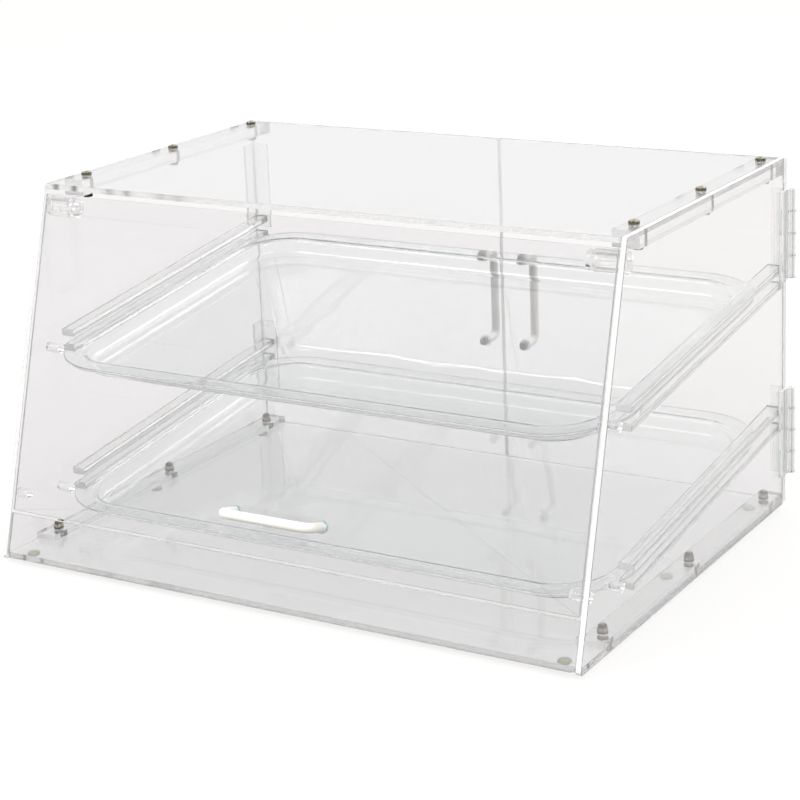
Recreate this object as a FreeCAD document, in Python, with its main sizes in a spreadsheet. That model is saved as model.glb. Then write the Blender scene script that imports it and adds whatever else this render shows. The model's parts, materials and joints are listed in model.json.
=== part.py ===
import FreeCAD, Part
import math
import os
import Sketcher

# Countertop bread display bin: a clear case with two sloping trays, a front door
# that swings up and a pair of rear doors.
# Frame: +X to the right, +Y to the rear, +Z up. The origin is the centre of the
# object's box at the surface that it stands on.

doc = FreeCAD.newDocument("bread_display_bin")

# Driving dimensions, in millimetres, with angles in degrees.
# Heights count from the bottom edge of the side panels, depths from the foot of the
# sloping front, and the left side mirrors the right.
driving = {
    # Case
    "case_width": 533.4,
    "case_height": 300.9,
    "base_depth": 394.5,
    "top_depth": 306.9,
    "panel": 4.8,
    "corner_radius": 3.0,
    "door_gap": 0.4,
    "split_gap": 1.5,
    "rear_door_lift": 0.8,
    # Feet
    "foot_height": 3.0,
    "foot_diameter": 11.0,
    "foot_taper": 1.5,
    "foot_inset": 20.7,
    "foot_front": 18.0,
    "foot_back": 39.5,
    # Front lip and front door
    "lip_lift": 2.0,
    "lip_height": 38.0,
    "lip_corner": 4.5,
    "seam_gap": 2.0,
    "door_sheet": 3.2,
    "door_side_gap": 1.5,
    "door_top_gap": 3.0,
    "door_corner": 1.5,
    # Front door's pivots
    "pivot_back": 11.5,
    "pivot_drop": 15.4,
    "pivot_diameter": 9.5,
    "barrel_diameter": 17.2,
    "barrel_length": 22.8,
    "cap_length": 4.6,
    "end_gap": 0.3,
    "running_gap": 0.05,
    # Stop pins
    "stop_diameter": 8.5,
    "door_stop_length": 12.7,
    "door_stop_height": 52.0,
    "stop_gap": 0.1,
    "tray_stop_length": 13.4,
    "tray_stop_bite": 1.2,
    # Handles
    "handle_height": 70.0,
    "rear_handle_inset": 20.0,
    "handle_spacing": 80.4,
    "handle_rod": 8.0,
    "handle_standoff": 21.0,
    "handle_washer_diameter": 10.8,
    "handle_washer": 1.2,
    "handle_screw": 3.0,
    "handle_screw_reach": 8.0,
    "handle_screw_head": 6.5,
    "handle_screw_head_height": 2.0,
    # Trays and the rails that they slide on
    "tray_pitch": 7.0,
    "seat_depth": 240.0,
    "lower_seat_height": 55.1,
    "upper_seat_height": 178.2,
    "rail_width": 12.7,
    "rail_height": 6.35,
    "rail_setback": 42.5,
    "rail_slot": 8.0,
    "tray_side_gap": 3.9,
    "tray_door_gap": 2.3,
    "tray_back_gap": 3.5,
    "tray_corner": 60.0,
    "tray_sheet": 2.4,
    "tray_rim": 17.0,
    "tray_depth": 14.0,
    "tray_bend": 6.0,
    "slide_gap": 0.1,
    # Bars and strips that the top and the base are screwed to
    "bar_width": 19.0,
    "bar_height": 9.5,
    "bar_clearance": 8.7,
    "strip_height": 4.8,
    "strip_front": 41.7,
    # Screws, bushings and nuts
    "screw_shank": 4.0,
    "screw_head": 8.8,
    "screw_head_height": 2.8,
    "head_chamfer": 1.0,
    "bushing_diameter": 8.0,
    "nut_diameter": 8.0,
    "nut_height": 4.5,
    "top_screw_front_end": 18.0,
    "top_screw_back_end": 16.7,
    "cap_nut_diameter": 8.6,
    "cap_nut_height": 3.0,
    "base_head_height": 1.6,
    "base_screw_front_end": 17.7,
    "base_screw_back_end": 17.3,
    # Rear hinges
    "hinge_height": 76.0,
    "lower_hinge": 27.0,
    "upper_hinge_drop": 26.9,
    "leaf_width": 19.7,
    "leaf": 2.4,
    "hinge_offset": 3.2,
    "knuckle_diameter": 8.0,
    "knuckle_gap": 0.35,
    "hinge_pin": 3.0,
    # Added to every cutting tool, so that it runs past the faces that it cuts
    "overrun": 1.0,
}

FASTENERS_PER_SIDE = 3
KNUCKLES = 4
RIGHT_ANGLE = 90
FULL_TURN = 360

sheet = doc.addObject("Spreadsheet::Sheet", "Dims")
for row, (alias, value) in enumerate(driving.items(), start=1):
    sheet.set("A%d" % row, alias)
    sheet.set("B%d" % row, str(value))
    sheet.setAlias("B%d" % row, alias)
doc.recompute()

# Places that several pieces share, worked out from the driving dimensions
fit = doc.addObject("App::VarSet", "Fit")
shared = {
    "half_width": "Dims.case_width / 2",
    "half_inside": "Dims.case_width / 2 - Dims.panel",
    "shell_back": "Dims.base_depth - Dims.panel - Dims.door_gap",
    "roof_under": "Dims.case_height - Dims.panel",
    "slope": "(Dims.base_depth - Dims.top_depth) / Dims.case_height",
    "lean": "atan(Fit.slope)",
    "lean_cos": "cos(Fit.lean)",
    "lean_sin": "sin(Fit.lean)",
    "lip_back": "Fit.slope * Dims.panel + Dims.panel / Fit.lean_cos",
    "pivot_z": "Fit.roof_under - Dims.pivot_drop",
    "pivot_y": "Fit.slope * Fit.pivot_z + Dims.pivot_back / Fit.lean_cos",
    "cap_diameter": "2 * (Dims.pivot_back - Dims.door_sheet - Dims.end_gap)",
    "pitch_tan": "tan(Dims.tray_pitch * 1 deg)",
    "pitch_cos": "cos(Dims.tray_pitch * 1 deg)",
    "pitch_sin": "sin(Dims.tray_pitch * 1 deg)",
    "bar_front": "Fit.pivot_y + Dims.barrel_diameter / 2 + Dims.bar_clearance",
    "top_screw_front": "Fit.bar_front + Dims.top_screw_front_end",
    "top_screw_pitch": "(Fit.shell_back - Dims.top_screw_back_end - Fit.top_screw_front) / %d"
                       % (FASTENERS_PER_SIDE - 1),
    "base_screw_front": "Dims.strip_front + Dims.base_screw_front_end",
    "base_screw_pitch": "(Fit.shell_back - Dims.base_screw_back_end - Fit.base_screw_front) / %d"
                        % (FASTENERS_PER_SIDE - 1),
    "tray_half": "Fit.half_inside - Dims.tray_side_gap",
    "tray_top": "Dims.upper_seat_height - Dims.seat_depth * Fit.pitch_tan + Dims.slide_gap"
                " + Dims.tray_sheet",
    "tray_front": "(Fit.slope * Fit.tray_top + Dims.door_sheet / Fit.lean_cos + Dims.tray_door_gap)"
                  " / (1 - Fit.slope * Fit.pitch_tan)",
    "rail_front": "Fit.tray_front + Dims.rail_setback",
    "stop_across": "Dims.tray_side_gap - Dims.tray_stop_length + Dims.tray_corner",
    "rim_meets_stop": "Fit.tray_front + (Dims.tray_corner - sqrt(pow(Dims.tray_corner; 2)"
                      " - pow(Fit.stop_across; 2))) * Fit.pitch_cos",
    "stop_half_bite": "sqrt(Dims.stop_diameter * Dims.tray_stop_bite - pow(Dims.tray_stop_bite; 2))",
    "tray_stop_y": "Fit.rim_meets_stop - Dims.tray_sheet * Fit.pitch_sin - Fit.stop_half_bite"
                   " - Dims.end_gap",
    "handle_y": "Fit.slope * Dims.handle_height",
    "bar_y": "Fit.handle_y - Dims.handle_standoff * Fit.lean_cos",
    "bar_z": "Dims.handle_height + Dims.handle_standoff * Fit.lean_sin",
    "rear_bar_y": "Dims.base_depth + Dims.handle_standoff",
    "hinge_x": "Fit.half_width + Dims.hinge_offset",
    "hinge_y": "Dims.base_depth + Dims.hinge_offset",
    "upper_hinge": "Dims.case_height - Dims.upper_hinge_drop - Dims.hinge_height",
    "front_most": "Fit.bar_y - Dims.handle_rod / 2",
    "rear_most": "max(Fit.hinge_y + Dims.knuckle_diameter / 2; Fit.rear_bar_y + Dims.handle_rod / 2)",
    "middle": "(Fit.front_most + Fit.rear_most) / 2",
}
for name, formula in shared.items():
    kind = "App::PropertyAngle" if name == "lean" else "App::PropertyFloat"
    fit.addProperty(kind, name)
    fit.setExpression(name, formula)
doc.recompute()

nodes = []
X, Y, Z = FreeCAD.Vector(1, 0, 0), FreeCAD.Vector(0, 1, 0), FreeCAD.Vector(0, 0, 1)


def size(formula):
    """The number that a formula gives now."""
    result = sheet.evalExpression(formula)
    return float(getattr(result, "Value", result))


def keep(item, label):
    """Name a finished sub-part and list it for writing."""
    item.Label = label
    nodes.append(item)
    return item


def place(item, x, y, z, axis=(0, 0, 1), angle=None):
    """Put an object at case coordinates, turned about its own corner or centre."""
    item.setExpression("Placement.Base.x", x)
    item.setExpression("Placement.Base.y", "%s - Fit.middle" % y)
    item.setExpression("Placement.Base.z", "%s + Dims.foot_height" % z)
    if angle is not None:
        item.Placement = FreeCAD.Placement(item.Placement.Base, FreeCAD.Rotation(FreeCAD.Vector(*axis), 1))
        item.setExpression("Placement.Rotation.Angle", angle)
    return item


# Turns used by the pieces that lean with the front, slope with the trays or lie along X
LEAN_BACK = {"axis": (-1, 0, 0), "angle": "Fit.lean"}
OUT_OF_DOOR = {"axis": (1, 0, 0), "angle": "%d deg - Fit.lean" % RIGHT_ANGLE}
INTO_DOOR = {"axis": (-1, 0, 0), "angle": "%d deg + Fit.lean" % RIGHT_ANGLE}
PITCH_UP = {"axis": (1, 0, 0), "angle": "Dims.tray_pitch"}
ALONG_X = {"axis": (0, 1, 0), "angle": "%d" % RIGHT_ANGLE}
UPRIGHT = {}
REARWARD = {"axis": (-1, 0, 0), "angle": "%d" % RIGHT_ANGLE}
FRONTWARD = {"axis": (1, 0, 0), "angle": "%d" % RIGHT_ANGLE}


def block(name, length, width, height, x, y, z, turn={}):
    item = doc.addObject("Part::Box", name)
    item.setExpression("Length", length)
    item.setExpression("Width", width)
    item.setExpression("Height", height)
    return place(item, x, y, z, **turn)


def rod(name, diameter, height, x, y, z, turn={}):
    item = doc.addObject("Part::Cylinder", name)
    item.setExpression("Radius", "(%s) / 2" % diameter)
    item.setExpression("Height", height)
    return place(item, x, y, z, **turn)


def taper(name, low_diameter, high_diameter, height, x, y, z, turn={}):
    item = doc.addObject("Part::Cone", name)
    item.setExpression("Radius1", "(%s) / 2" % low_diameter)
    item.setExpression("Radius2", "(%s) / 2" % high_diameter)
    item.setExpression("Height", height)
    return place(item, x, y, z, **turn)


def ball(name, diameter, x, y, z):
    item = doc.addObject("Part::Sphere", name)
    item.setExpression("Radius", "(%s) / 2" % diameter)
    return place(item, x, y, z)


def joined(name, *items):
    item = doc.addObject("Part::MultiFuse", name)
    item.Shapes = list(items)
    item.Refine = True
    return item


def cut(name, base, *tools):
    tool = tools[0] if len(tools) == 1 else joined(name + "_tools", *tools)
    item = doc.addObject("Part::Cut", name)
    item.Base = base
    item.Tool = tool
    return item


def group(name, items):
    item = doc.addObject("Part::Compound", name)
    item.Links = list(items)
    return item


def blank_sketch(body, role, offset=None):
    """An empty sketch on one of a body's own planes, or parallel to it."""
    plane = next(f for f in body.Origin.OriginFeatures if f.Role == role)
    sketch = body.newObject("Sketcher::SketchObject", body.Name + "_outline")
    sketch.AttachmentSupport = [(plane, "")]
    sketch.MapMode = "FlatFace"
    if offset:
        sketch.setExpression("AttachmentOffset.Base.z", offset)
    return sketch


def rule(sketch, kind, *where):
    """Add a constraint whose last value is a formula, and keep it tied to that."""
    *places, formula = where
    number = sketch.addConstraint(Sketcher.Constraint(kind, *places, size(formula)))
    sketch.setExpression("Constraints[%d]" % number, formula)


def outline(body, role, points, offset=None):
    """A closed sketch through points given as pairs of formulas."""
    sketch = blank_sketch(body, role, offset)
    corners = [FreeCAD.Vector(size(x), size(y), 0) for x, y in points]
    for index, corner in enumerate(corners):
        following = corners[(index + 1) % len(corners)]
        sketch.addGeometry(Part.LineSegment(corner, following))
    for index, (x, y) in enumerate(points):
        before = (index - 1) % len(points)
        sketch.addConstraint(Sketcher.Constraint("Coincident", before, 2, index, 1))
        rule(sketch, "DistanceX", -1, 1, index, 1, x)
        rule(sketch, "DistanceY", -1, 1, index, 1, y)
    return sketch


def rounded_outline(body, x0, y0, x1, y1, radius, offset=None):
    """An oblong sketch on the XY plane with an arc at each corner."""
    sketch = blank_sketch(body, "XY_Plane", offset)
    low, high = FreeCAD.Vector(size(x0), size(y0), 0), FreeCAD.Vector(size(x1), size(y1), 0)
    bend = size(radius)
    corners = [low, FreeCAD.Vector(high.x, low.y, 0), high, FreeCAD.Vector(low.x, high.y, 0)]
    for index, corner in enumerate(corners):
        following = corners[(index + 1) % len(corners)]
        run = (following - corner).normalize() * bend
        sketch.addGeometry(Part.LineSegment(corner + run, following - run))
    for index, corner in enumerate(corners):
        ahead = (corners[(index + 1) % len(corners)] - corner).normalize() * bend
        behind = (corners[(index - 1) % len(corners)] - corner).normalize() * bend
        circle = Part.Circle(corner + ahead + behind, Z, bend)
        start = math.radians(FULL_TURN / 2 + index * RIGHT_ANGLE)
        sketch.addGeometry(Part.ArcOfCircle(circle, start, start + math.radians(RIGHT_ANGLE)))
    for index in range(len(corners)):
        arc = len(corners) + index
        sketch.addConstraint(Sketcher.Constraint("Tangent", (index - 1) % len(corners), 2, arc, 1))
        sketch.addConstraint(Sketcher.Constraint("Tangent", arc, 2, index, 1))
        sketch.addConstraint(Sketcher.Constraint("Horizontal" if index % 2 == 0 else "Vertical", index))
        rule(sketch, "Radius", arc, radius)
    rule(sketch, "DistanceY", -1, 1, 0, 1, y0)
    rule(sketch, "DistanceX", -1, 1, 1, 1, x1)
    rule(sketch, "DistanceY", -1, 1, 2, 1, y1)
    rule(sketch, "DistanceX", -1, 1, 3, 1, x0)
    return sketch


def oblong(x0, y0, x1, y1):
    return [(x0, y0), (x1, y0), (x1, y1), (x0, y1)]


def pad(body, sketch, length, reverse=False):
    feature = body.newObject("PartDesign::Pad", body.Name + "_pad")
    feature.Profile = sketch
    feature.Reversed = reverse
    feature.setExpression("Length", length)
    doc.recompute()
    return feature


def pocket(body, sketch, length, reverse=False):
    before = body.Shape.Volume
    feature = body.newObject("PartDesign::Pocket", body.Name + "_pocket")
    feature.Profile = sketch
    feature.Reversed = reverse
    feature.setExpression("Length", length)
    doc.recompute()
    if body.Shape.Volume >= before:
        raise RuntimeError("pocket of %s cuts nothing" % body.Name)
    return feature


def rounded(body, radius, chosen):
    """Fillet the edges of a body that a test picks."""
    last = body.Tip
    names = ["Edge%d" % (i + 1) for i, edge in enumerate(last.Shape.Edges) if chosen(edge)]
    feature = body.newObject("PartDesign::Fillet", body.Name + "_fillet")
    feature.Base = (last, names)
    feature.setExpression("Radius", radius)
    doc.recompute()
    return feature


def along(edge, axis):
    """True for a straight edge that runs along one axis of its body."""
    return isinstance(edge.Curve, Part.Line) and math.isclose(abs(edge.Curve.Direction.dot(axis)), 1)


SIDES = (("left", -1), ("right", 1))


def inward(side, width, inner="Fit.half_inside"):
    """Low X of a piece of this width that lies against a side's inner face."""
    return "%s - (%s)" % (inner, width) if side > 0 else "-(%s)" % inner


# Side panels: slanted front edge with rounded front corners
def side_panel(word, side):
    body = doc.addObject("PartDesign::Body", "side_panel_" + word)
    corners = [
        ("0", "0"),
        ("Fit.shell_back", "0"),
        ("Fit.shell_back", "Dims.case_height"),
        ("Dims.base_depth - Dims.top_depth", "Dims.case_height"),
    ]
    pad(body, outline(body, "YZ_Plane", corners), "Dims.panel")
    front = size("Fit.shell_back / 2")
    rounded(body, "Dims.corner_radius", lambda e: along(e, X) and e.CenterOfMass.y < front)
    place(body, "Fit.half_inside" if side > 0 else "-Fit.half_width", "0", "0")
    keep(body, "side_panel_" + word)


# Screw places: three a side, on the centre line of the bars and strips
def screw_places(front, pitch):
    centre = "(Fit.half_inside - Dims.bar_width / 2)"
    for word, side in SIDES:
        for number in range(FASTENERS_PER_SIDE):
            x = centre if side > 0 else "-" + centre
            yield "%s_%d" % (word, number), x, "%s + %d * %s" % (front, number, pitch)


def drilled(name, blank, diameter, height, z, front, pitch, only=None):
    """Cut a vertical hole at every screw place, or on one side only."""
    drills = []
    for word, x, y in screw_places(front, pitch):
        if only is None or word.startswith(only):
            drills.append(rod("%s_drill_%s" % (name, word), diameter,
                              "%s + 2 * Dims.overrun" % height, x, y, "%s - Dims.overrun" % z))
    return cut(name, blank, *drills)


TOP_ROW = ("Fit.top_screw_front", "Fit.top_screw_pitch")
BASE_ROW = ("Fit.base_screw_front", "Fit.base_screw_pitch")
SHANK_HOLE = "Dims.screw_shank + 2 * Dims.running_gap"
BUSHING_HOLE = "Dims.bushing_diameter + 2 * Dims.running_gap"


# Top and base panels fit between the side panels
def top_panel():
    front = "(Dims.base_depth - Dims.top_depth)"
    blank = block("top_blank", "2 * Fit.half_inside", "Fit.shell_back - " + front, "Dims.panel",
                  "-Fit.half_inside", front, "Fit.roof_under")
    keep(drilled("top_panel", blank, BUSHING_HOLE, "Dims.panel", "Fit.roof_under", *TOP_ROW), "top_panel")


def base_panel():
    blank = block("base_blank", "2 * Fit.half_inside", "Fit.shell_back - Fit.lip_back", "Dims.panel",
                  "-Fit.half_inside", "Fit.lip_back", "0")
    keep(drilled("base_panel", blank, SHANK_HOLE, "Dims.panel", "0", *BASE_ROW), "base_panel")


# Bars under the top panel and strips on the base panel
def top_bar(word, side):
    blank = block("bar_blank_" + word, "Dims.bar_width", "Fit.shell_back - Fit.bar_front", "Dims.bar_height",
                  inward(side, "Dims.bar_width"), "Fit.bar_front", "(Fit.roof_under - Dims.bar_height)")
    keep(drilled("top_bar_" + word, blank, SHANK_HOLE, "Dims.bar_height",
                 "(Fit.roof_under - Dims.bar_height)", *TOP_ROW, only=word), "top_bar_" + word)


def base_strip(word, side):
    blank = block("strip_blank_" + word, "Dims.bar_width", "Fit.shell_back - Dims.strip_front",
                  "Dims.strip_height", inward(side, "Dims.bar_width"), "Dims.strip_front", "Dims.panel")
    keep(drilled("base_strip_" + word, blank, BUSHING_HOLE, "Dims.strip_height", "Dims.panel",
                 *BASE_ROW, only=word), "base_strip_" + word)


# A bushing is a clear ring round each shank, as thick as the sheet that it lines
def bushings(name, height, z, row):
    rings = []
    for word, x, y in screw_places(*row):
        outer = rod("%s_outer_%s" % (name, word), "Dims.bushing_diameter", height, x, y, z)
        bore = rod("%s_bore_%s" % (name, word), SHANK_HOLE, "%s + 2 * Dims.overrun" % height,
                   x, y, "%s - Dims.overrun" % z)
        rings.append(cut("%s_%s" % (name, word), outer, bore))
    keep(group(name, rings), name)


# Top screws: chamfered heads on the top panel, shanks down to the nuts below the bars
def top_screws():
    screws = []
    shank_end = "(Fit.roof_under - Dims.bar_height - Dims.nut_height)"
    for word, x, y in screw_places(*TOP_ROW):
        wall = rod("top_head_" + word, "Dims.screw_head", "Dims.screw_head_height - Dims.head_chamfer",
                   x, y, "Dims.case_height")
        crown = taper("top_crown_" + word, "Dims.screw_head", "Dims.screw_head - 2 * Dims.head_chamfer",
                      "Dims.head_chamfer", x, y,
                      "(Dims.case_height + Dims.screw_head_height - Dims.head_chamfer)")
        shank = rod("top_shank_" + word, "Dims.screw_shank", "Dims.case_height - " + shank_end,
                    x, y, shank_end)
        screws.append(joined("top_screw_" + word, wall, crown, shank))
    keep(group("top_screws", screws), "top_screws")


def top_nuts():
    nuts = []
    low = "(Fit.roof_under - Dims.bar_height - Dims.nut_height)"
    for word, x, y in screw_places(*TOP_ROW):
        outer = rod("top_nut_outer_" + word, "Dims.nut_diameter", "Dims.nut_height", x, y, low)
        bore = rod("top_nut_bore_" + word, SHANK_HOLE, "Dims.nut_height + 2 * Dims.overrun",
                   x, y, "(%s - Dims.overrun)" % low)
        nuts.append(cut("top_nut_" + word, outer, bore))
    keep(group("top_nuts", nuts), "top_nuts")


# Base screws: low heads below the base, domed cap nuts on the strips
def base_screws():
    screws = []
    top = "(Dims.panel + Dims.strip_height + Dims.cap_nut_height)"
    for word, x, y in screw_places(*BASE_ROW):
        head = rod("base_head_" + word, "Dims.screw_head", "Dims.base_head_height",
                   x, y, "(-Dims.base_head_height)")
        shank = rod("base_shank_" + word, "Dims.screw_shank", top, x, y, "0")
        screws.append(joined("base_screw_" + word, head, shank))
    keep(group("base_screws", screws), "base_screws")


def base_cap_nuts():
    nuts = []
    seat = "(Dims.panel + Dims.strip_height)"
    for word, x, y in screw_places(*BASE_ROW):
        wall = rod("cap_wall_" + word, "Dims.cap_nut_diameter", "Dims.cap_nut_height", x, y, seat)
        dome = ball("cap_dome_" + word, "Dims.cap_nut_diameter", x, y, "(%s + Dims.cap_nut_height)" % seat)
        below = rod("cap_below_" + word, "Dims.cap_nut_diameter + 2 * Dims.overrun",
                    "Dims.cap_nut_diameter", x, y, "(%s - Dims.cap_nut_diameter)" % seat)
        bore = rod("cap_bore_" + word, SHANK_HOLE,
                   "Dims.cap_nut_height + Dims.running_gap + Dims.overrun", x, y,
                   "(%s - Dims.overrun)" % seat)
        nuts.append(cut("cap_nut_" + word, joined("cap_solid_" + word, wall, dome), below, bore))
    keep(group("base_cap_nuts", nuts), "base_cap_nuts")


# Feet: three soft bumpers a side, tapering down to the counter
def feet():
    bumpers = []
    centre = "(Fit.half_width - Dims.foot_inset)"
    run = "(Dims.base_depth - Dims.foot_back - Dims.foot_front)"
    for word, side in SIDES:
        for number in range(FASTENERS_PER_SIDE):
            x = centre if side > 0 else "-" + centre
            y = "Dims.foot_front + %d * %s / %d" % (number, run, FASTENERS_PER_SIDE - 1)
            bumpers.append(taper("foot_%s_%d" % (word, number), "Dims.foot_diameter - 2 * Dims.foot_taper",
                                 "Dims.foot_diameter", "Dims.foot_height", x, y, "(-Dims.foot_height)"))
    keep(group("feet", bumpers), "feet")


# Front lip: a low fixed strip in the plane of the door, with rounded lower corners
def front_lip():
    body = doc.addObject("PartDesign::Body", "front_lip")
    corners = oblong("-Fit.half_inside", "0", "Fit.half_inside",
                     "(Dims.lip_height - Dims.lip_lift) / Fit.lean_cos")
    pad(body, outline(body, "XZ_Plane", corners), "Dims.panel", reverse=True)
    half = size("Dims.lip_height / 2")
    rounded(body, "Dims.lip_corner", lambda e: along(e, Y) and e.CenterOfMass.z < half)
    place(body, "0", "Fit.slope * Dims.lip_lift", "Dims.lip_lift", **LEAN_BACK)
    keep(body, "front_lip")


# A door is drilled for its handle's screws at points given as pairs of formulas
def handle_holes(body, points, sheet):
    holes = blank_sketch(body, "XZ_Plane")
    hole = "Dims.handle_screw + 2 * Dims.running_gap"
    for number, (x, z) in enumerate(points):
        holes.addGeometry(Part.Circle(FreeCAD.Vector(size(x), size(z), 0), Z, size(hole) / 2))
        rule(holes, "DistanceX", -1, 1, number, 3, x)
        rule(holes, "DistanceY", -1, 1, number, 3, z)
        rule(holes, "Diameter", number, hole)
    pocket(body, holes, sheet)


# Front door: one sheet behind the front plane's outer face
def front_door():
    low = "(Dims.lip_height + Dims.seam_gap)"
    high = "(Fit.roof_under - Dims.door_top_gap)"
    half = "(Fit.half_inside - Dims.door_side_gap)"
    body = doc.addObject("PartDesign::Body", "front_door")
    corners = oblong("-" + half, "0", half, "(%s - %s) / Fit.lean_cos" % (high, low))
    pad(body, outline(body, "XZ_Plane", corners), "Dims.door_sheet", reverse=True)
    rounded(body, "Dims.door_corner", lambda e: along(e, Y))
    rise = "(Dims.handle_height - %s) / Fit.lean_cos" % low
    feet_of_handle = [("%d * Dims.handle_spacing / 2" % side, rise) for word, side in SIDES]
    handle_holes(body, feet_of_handle, "Dims.door_sheet")
    place(body, "0", "Fit.slope * %s" % low, low, **LEAN_BACK)
    keep(body, "front_door")


# Door pivots: a barrel glued behind the door turns on a pin glued to the side panel,
# and a cap on the pin's end keeps the door in place
def door_pivot(word, side):
    barrel_x = inward(side, "Dims.barrel_length", "(Fit.half_inside - Dims.end_gap)")
    pin_length = "(Dims.barrel_length + 2 * Dims.end_gap)"
    blank = rod("barrel_blank_" + word, "Dims.barrel_diameter", "Dims.barrel_length",
                barrel_x, "Fit.pivot_y", "Fit.pivot_z", ALONG_X)
    bore = rod("barrel_bore_" + word, "Dims.pivot_diameter + 2 * Dims.running_gap",
               "Dims.barrel_length + 2 * Dims.overrun", "%s - Dims.overrun" % barrel_x,
               "Fit.pivot_y", "Fit.pivot_z", ALONG_X)
    low = "(Fit.pivot_z - Dims.barrel_diameter)"
    door = block("barrel_flat_" + word, "Dims.barrel_length + 2 * Dims.overrun", "Dims.door_sheet",
                 "2 * Dims.barrel_diameter / Fit.lean_cos", "%s - Dims.overrun" % barrel_x,
                 "Fit.slope * %s" % low, low, LEAN_BACK)
    keep(cut("door_barrel_" + word, blank, bore, door), "door_barrel_" + word)
    keep(rod("pivot_pin_" + word, "Dims.pivot_diameter", pin_length, inward(side, pin_length),
             "Fit.pivot_y", "Fit.pivot_z", ALONG_X), "pivot_pin_" + word)
    keep(rod("pivot_cap_" + word, "Fit.cap_diameter", "Dims.cap_length",
             inward(side, "Dims.cap_length", "(Fit.half_inside - %s)" % pin_length),
             "Fit.pivot_y", "Fit.pivot_z", ALONG_X), "pivot_cap_" + word)


# Stop pins: the front door's lower corners rest on one pair
def door_stop(word, side):
    behind = "(Dims.door_sheet + Dims.stop_gap + Dims.stop_diameter / 2) / Fit.lean_cos"
    keep(rod("door_stop_" + word, "Dims.stop_diameter", "Dims.door_stop_length",
             inward(side, "Dims.door_stop_length"), "Fit.slope * Dims.door_stop_height + " + behind,
             "Dims.door_stop_height", ALONG_X), "door_stop_" + word)


# A handle is a bar on two legs, with a screw from inside the door into each leg. A leg is
# given by its foot on the door's face, its bend into the bar and its screw's seat.
def handle(label, legs, bar_turn, out, into, sheet):
    parts = [rod(label + "_bar", "Dims.handle_rod", "Dims.handle_spacing", *legs[0][1], bar_turn)]
    bores, screws = [], []
    for number, (foot, bend, seat) in enumerate(legs):
        tag = "_%s_%d" % (label, number)
        parts.append(rod("leg" + tag, "Dims.handle_rod", "Dims.handle_standoff", *foot, out))
        parts.append(ball("bend" + tag, "Dims.handle_rod", *bend))
        bores.append(rod("leg_bore" + tag, "Dims.handle_screw + 2 * Dims.running_gap",
                         "Dims.handle_screw_reach + Dims.running_gap", *foot, out))
        shank = rod("shank" + tag, "Dims.handle_screw", sheet + " + Dims.handle_screw_reach", *seat, out)
        head = rod("head" + tag, "Dims.handle_screw_head", "Dims.handle_screw_head_height", *seat, into)
        screws.append(joined("screw" + tag, shank, head))
    keep(cut(label, joined(label + "_solid", *parts), *bores), label)
    return screws


# The front door's handle lies level and stands on two washers
def front_handle():
    legs, washers = [], []
    for word, side in SIDES:
        x = "%d * Dims.handle_spacing / 2" % side
        foot = (x, "Fit.handle_y", "Dims.handle_height")
        seat = (x, "(Fit.handle_y + Dims.door_sheet * Fit.lean_cos)",
                "(Dims.handle_height - Dims.door_sheet * Fit.lean_sin)")
        legs.append((foot, (x, "Fit.bar_y", "Fit.bar_z"), seat))
        disc = rod("washer_disc_" + word, "Dims.handle_washer_diameter", "Dims.handle_washer",
                   *foot, OUT_OF_DOOR)
        eye = rod("washer_eye_" + word, "Dims.handle_rod + 2 * Dims.running_gap",
                  "Dims.handle_washer + Dims.overrun", *foot, OUT_OF_DOOR)
        washers.append(cut("handle_washer_" + word, disc, eye))
    screws = handle("door_handle", legs, ALONG_X, OUT_OF_DOOR, INTO_DOOR, "Dims.door_sheet")
    keep(group("handle_washers", washers), "handle_washers")
    keep(group("handle_screws", screws), "handle_screws")


# Trays lean 7 degrees. A seat is the line of the lower rails' top face.
def seat_at(seat, depth):
    return "(%s + (%s - Dims.seat_depth) * Fit.pitch_tan)" % (seat, depth)


# Each side has a rail that carries the tray's rim and one above that keeps it down
def tray_rails(tier, seat):
    length = "(Fit.shell_back - Fit.rail_front) / Fit.pitch_cos - Dims.rail_height * Fit.pitch_tan"
    drop = "Dims.rail_height / Fit.pitch_cos"
    for word, side in SIDES:
        x = inward(side, "Dims.rail_width")
        for level, rise in (("lower", "-" + drop), ("upper", "Dims.rail_slot")):
            label = "%s_tray_%s_rail_%s" % (tier, level, word)
            z = "(%s + %s)" % (seat_at(seat, "Fit.rail_front"), rise)
            keep(block(label, "Dims.rail_width", length, "Dims.rail_height",
                       x, "Fit.rail_front", z, PITCH_UP), label)


# Tray: one formed sheet with a flat rim, rounded corners and a sunk floor
def tray(tier, seat):
    body = doc.addObject("PartDesign::Body", tier + "_tray")
    half = "Fit.tray_half"
    reach = "((Fit.shell_back - Dims.tray_back_gap - Fit.tray_front) / Fit.pitch_cos)"
    floor = size("Dims.running_gap - Dims.tray_depth")
    bottom = size("Dims.tray_sheet - Dims.tray_depth")
    level = size("Dims.running_gap")

    def sunk(inset, offset=None):
        return rounded_outline(body, "%s - %s" % (inset, half), inset, "%s - %s" % (half, inset),
                               "%s - %s" % (reach, inset), "Dims.tray_corner - " + inset, offset)

    pad(body, sunk("Dims.tray_rim", "Dims.tray_sheet"), "Dims.tray_depth + Dims.tray_sheet", reverse=True)
    pad(body, rounded_outline(body, "-" + half, "0", half, reach, "Dims.tray_corner"), "Dims.tray_sheet")
    pocket(body, sunk("(Dims.tray_rim + Dims.tray_sheet)", "Dims.tray_sheet"), "Dims.tray_depth")
    rounded(body, "Dims.tray_bend",
            lambda e: abs(e.BoundBox.ZMin - bottom) < level and abs(e.BoundBox.ZMax - bottom) < level)
    rounded(body, "Dims.tray_bend + Dims.tray_sheet", lambda e: e.BoundBox.ZMax < floor)
    z = "(%s + Dims.slide_gap)" % seat_at(seat, "Fit.tray_front")
    place(body, "0", "Fit.tray_front", z, **PITCH_UP)
    keep(body, tier + "_tray")


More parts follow.
